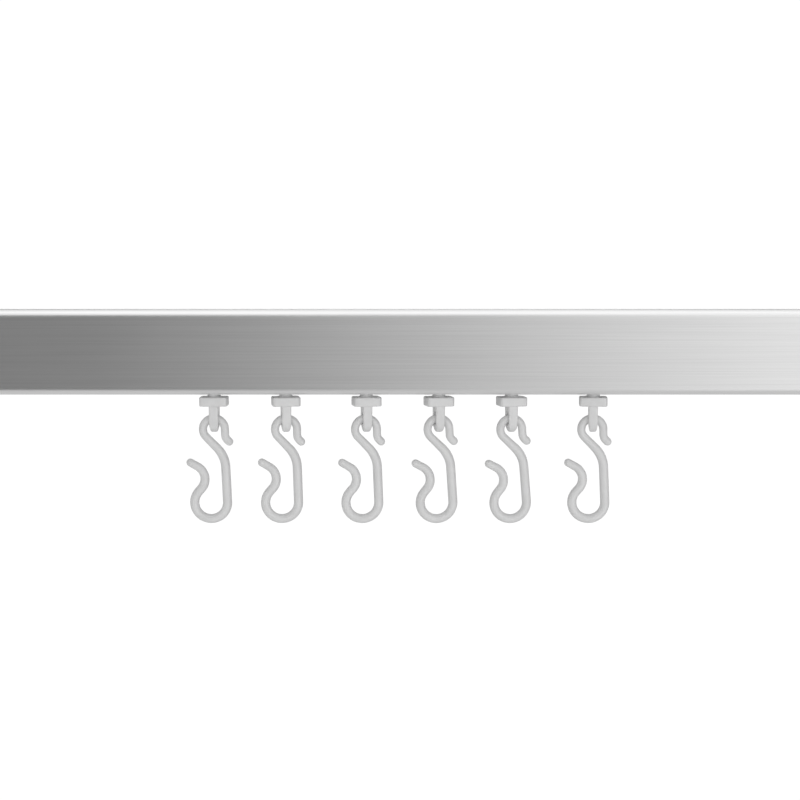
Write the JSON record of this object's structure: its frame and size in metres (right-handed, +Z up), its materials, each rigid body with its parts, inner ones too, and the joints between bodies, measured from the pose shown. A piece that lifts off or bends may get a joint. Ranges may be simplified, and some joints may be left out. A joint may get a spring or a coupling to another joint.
{
  "type": "curtain track",
  "caption": "Satin aluminium box-section curtain track with white swivel gliders that slide in its underside, each carrying an open S-hook.",
  "frame": {"origin": "middle of the track on the ceiling plane, halfway between the two ceiling screws", "axes": "+X along the rail, to the right seen from the front; -Y to the front, towards the room; +Z up to the ceiling"},
  "size_m": [0.6062, 0.018, 0.0692],
  "materials": {
    "aluminium_satin": "satin, brushed along its length",
    "plastic_white": "smooth moulded, low gloss",
    "plastic_grey": "fine matt",
    "steel_zinc": "zinc plated"
  },
  "bodies": {
    "track": {"rail": "aluminium_satin", "end_cap_left": "plastic_grey", "end_cap_right": "plastic_grey", "ceiling_plate_left": "steel_zinc", "ceiling_plate_right": "steel_zinc", "cam_rivet_left": "steel_zinc", "cam_rivet_right": "steel_zinc"},
    "lever_left": {"cam_lever_left": "steel_zinc"},
    "lever_right": {"cam_lever_right": "steel_zinc"},
    "runner_1": {"runner_1": "plastic_white"},
    "eye_1": {"eye_1": "plastic_white"},
    "hook_1": {"hook_1": "plastic_white"},
    "runner_2": {"runner_2": "plastic_white"},
    "eye_2": {"eye_2": "plastic_white"},
    "hook_2": {"hook_2": "plastic_white"},
    "runner_3": {"runner_3": "plastic_white"},
    "eye_3": {"eye_3": "plastic_white"},
    "hook_3": {"hook_3": "plastic_white"},
    "runner_4": {"runner_4": "plastic_white"},
    "eye_4": {"eye_4": "plastic_white"},
    "hook_4": {"hook_4": "plastic_white"},
    "runner_5": {"runner_5": "plastic_white"},
    "eye_5": {"eye_5": "plastic_white"},
    "hook_5": {"hook_5": "plastic_white"},
    "runner_6": {"runner_6": "plastic_white"},
    "eye_6": {"eye_6": "plastic_white"},
    "hook_6": {"hook_6": "plastic_white"}
  },
  "joints": [
    {"name": "lever_left_turn", "type": "hinge", "parent": "track", "child": "lever_left", "pos_m": [-0.186, 0, -0.0032], "axis": [0, 0, 1], "range_deg": [-90, 0]},
    {"name": "lever_right_turn", "type": "hinge", "parent": "track", "child": "lever_right", "pos_m": [0.186, 0, -0.0032], "axis": [0, 0, 1], "range_deg": [0, 90]},
    {"name": "runner_1_slide", "type": "slide", "parent": "track", "child": "runner_1", "axis": [1, 0, 0], "range_m": [-0.2307, 0.0066]},
    {"name": "eye_1_swivel", "type": "hinge", "parent": "runner_1", "child": "eye_1", "pos_m": [-0.056, 0, -0.0306], "axis": [0, 0, 1], "continuous": true},
    {"name": "hook_1_swing", "type": "hinge", "parent": "eye_1", "child": "hook_1", "pos_m": [-0.056, 0, -0.03718], "axis": [0.9998, 0.0175, 0], "range_deg": [-70, 70]},
    {"name": "runner_2_slide", "type": "slide", "parent": "track", "child": "runner_2", "axis": [1, 0, 0], "range_m": [-0.0066, 0.0093]},
    {"name": "eye_2_swivel", "type": "hinge", "parent": "runner_2", "child": "eye_2", "pos_m": [-0.0344, 0, -0.0306], "axis": [0, 0, 1], "continuous": true},
    {"name": "hook_2_swing", "type": "hinge", "parent": "eye_2", "child": "hook_2", "pos_m": [-0.0344, 0, -0.03718], "axis": [0.9816, 0.1908, 0], "range_deg": [-70, 70]},
    {"name": "runner_3_slide", "type": "slide", "parent": "track", "child": "runner_3", "axis": [1, 0, 0], "range_m": [-0.0093, 0.0068]},
    {"name": "eye_3_swivel", "type": "hinge", "parent": "runner_3", "child": "eye_3", "pos_m": [-0.0101, 0, -0.0306], "axis": [0, 0, 1], "continuous": true},
    {"name": "hook_3_swing", "type": "hinge", "parent": "eye_3", "child": "hook_3", "pos_m": [-0.0101, 0, -0.03718], "axis": [0.9799, 0.1994, 0], "range_deg": [-70, 70]},
    {"name": "runner_4_slide", "type": "slide", "parent": "track", "child": "runner_4", "axis": [1, 0, 0], "range_m": [-0.0068, 0.0069]},
    {"name": "eye_4_swivel", "type": "hinge", "parent": "runner_4", "child": "eye_4", "pos_m": [0.0117, 0, -0.0306], "axis": [0, 0, 1], "continuous": true},
    {"name": "hook_4_swing", "type": "hinge", "parent": "eye_4", "child": "hook_4", "pos_m": [0.0117, 0, -0.03718], "axis": [0.9781, 0.2079, 0], "range_deg": [-70, 70]},
    {"name": "runner_5_slide", "type": "slide", "parent": "track", "child": "runner_5", "axis": [1, 0, 0], "range_m": [-0.0069, 0.0096]},
    {"name": "eye_5_swivel", "type": "hinge", "parent": "runner_5", "child": "eye_5", "pos_m": [0.0336, 0, -0.0306], "axis": [0, 0, 1], "continuous": true},
    {"name": "hook_5_swing", "type": "hinge", "parent": "eye_5", "child": "hook_5", "pos_m": [0.0336, 0, -0.03718], "axis": [0.9816, 0.1908, 0], "range_deg": [-70, 70]},
    {"name": "runner_6_slide", "type": "slide", "parent": "track", "child": "runner_6", "axis": [1, 0, 0], "range_m": [-0.0096, 0.2288]},
    {"name": "eye_6_swivel", "type": "hinge", "parent": "runner_6", "child": "eye_6", "pos_m": [0.0582, 0, -0.0306], "axis": [0, 0, 1], "continuous": true},
    {"name": "hook_6_swing", "type": "hinge", "parent": "eye_6", "child": "hook_6", "pos_m": [0.0582, 0, -0.03718], "axis": [0.9945, -0.1045, 0], "range_deg": [-70, 70]}
  ]
}
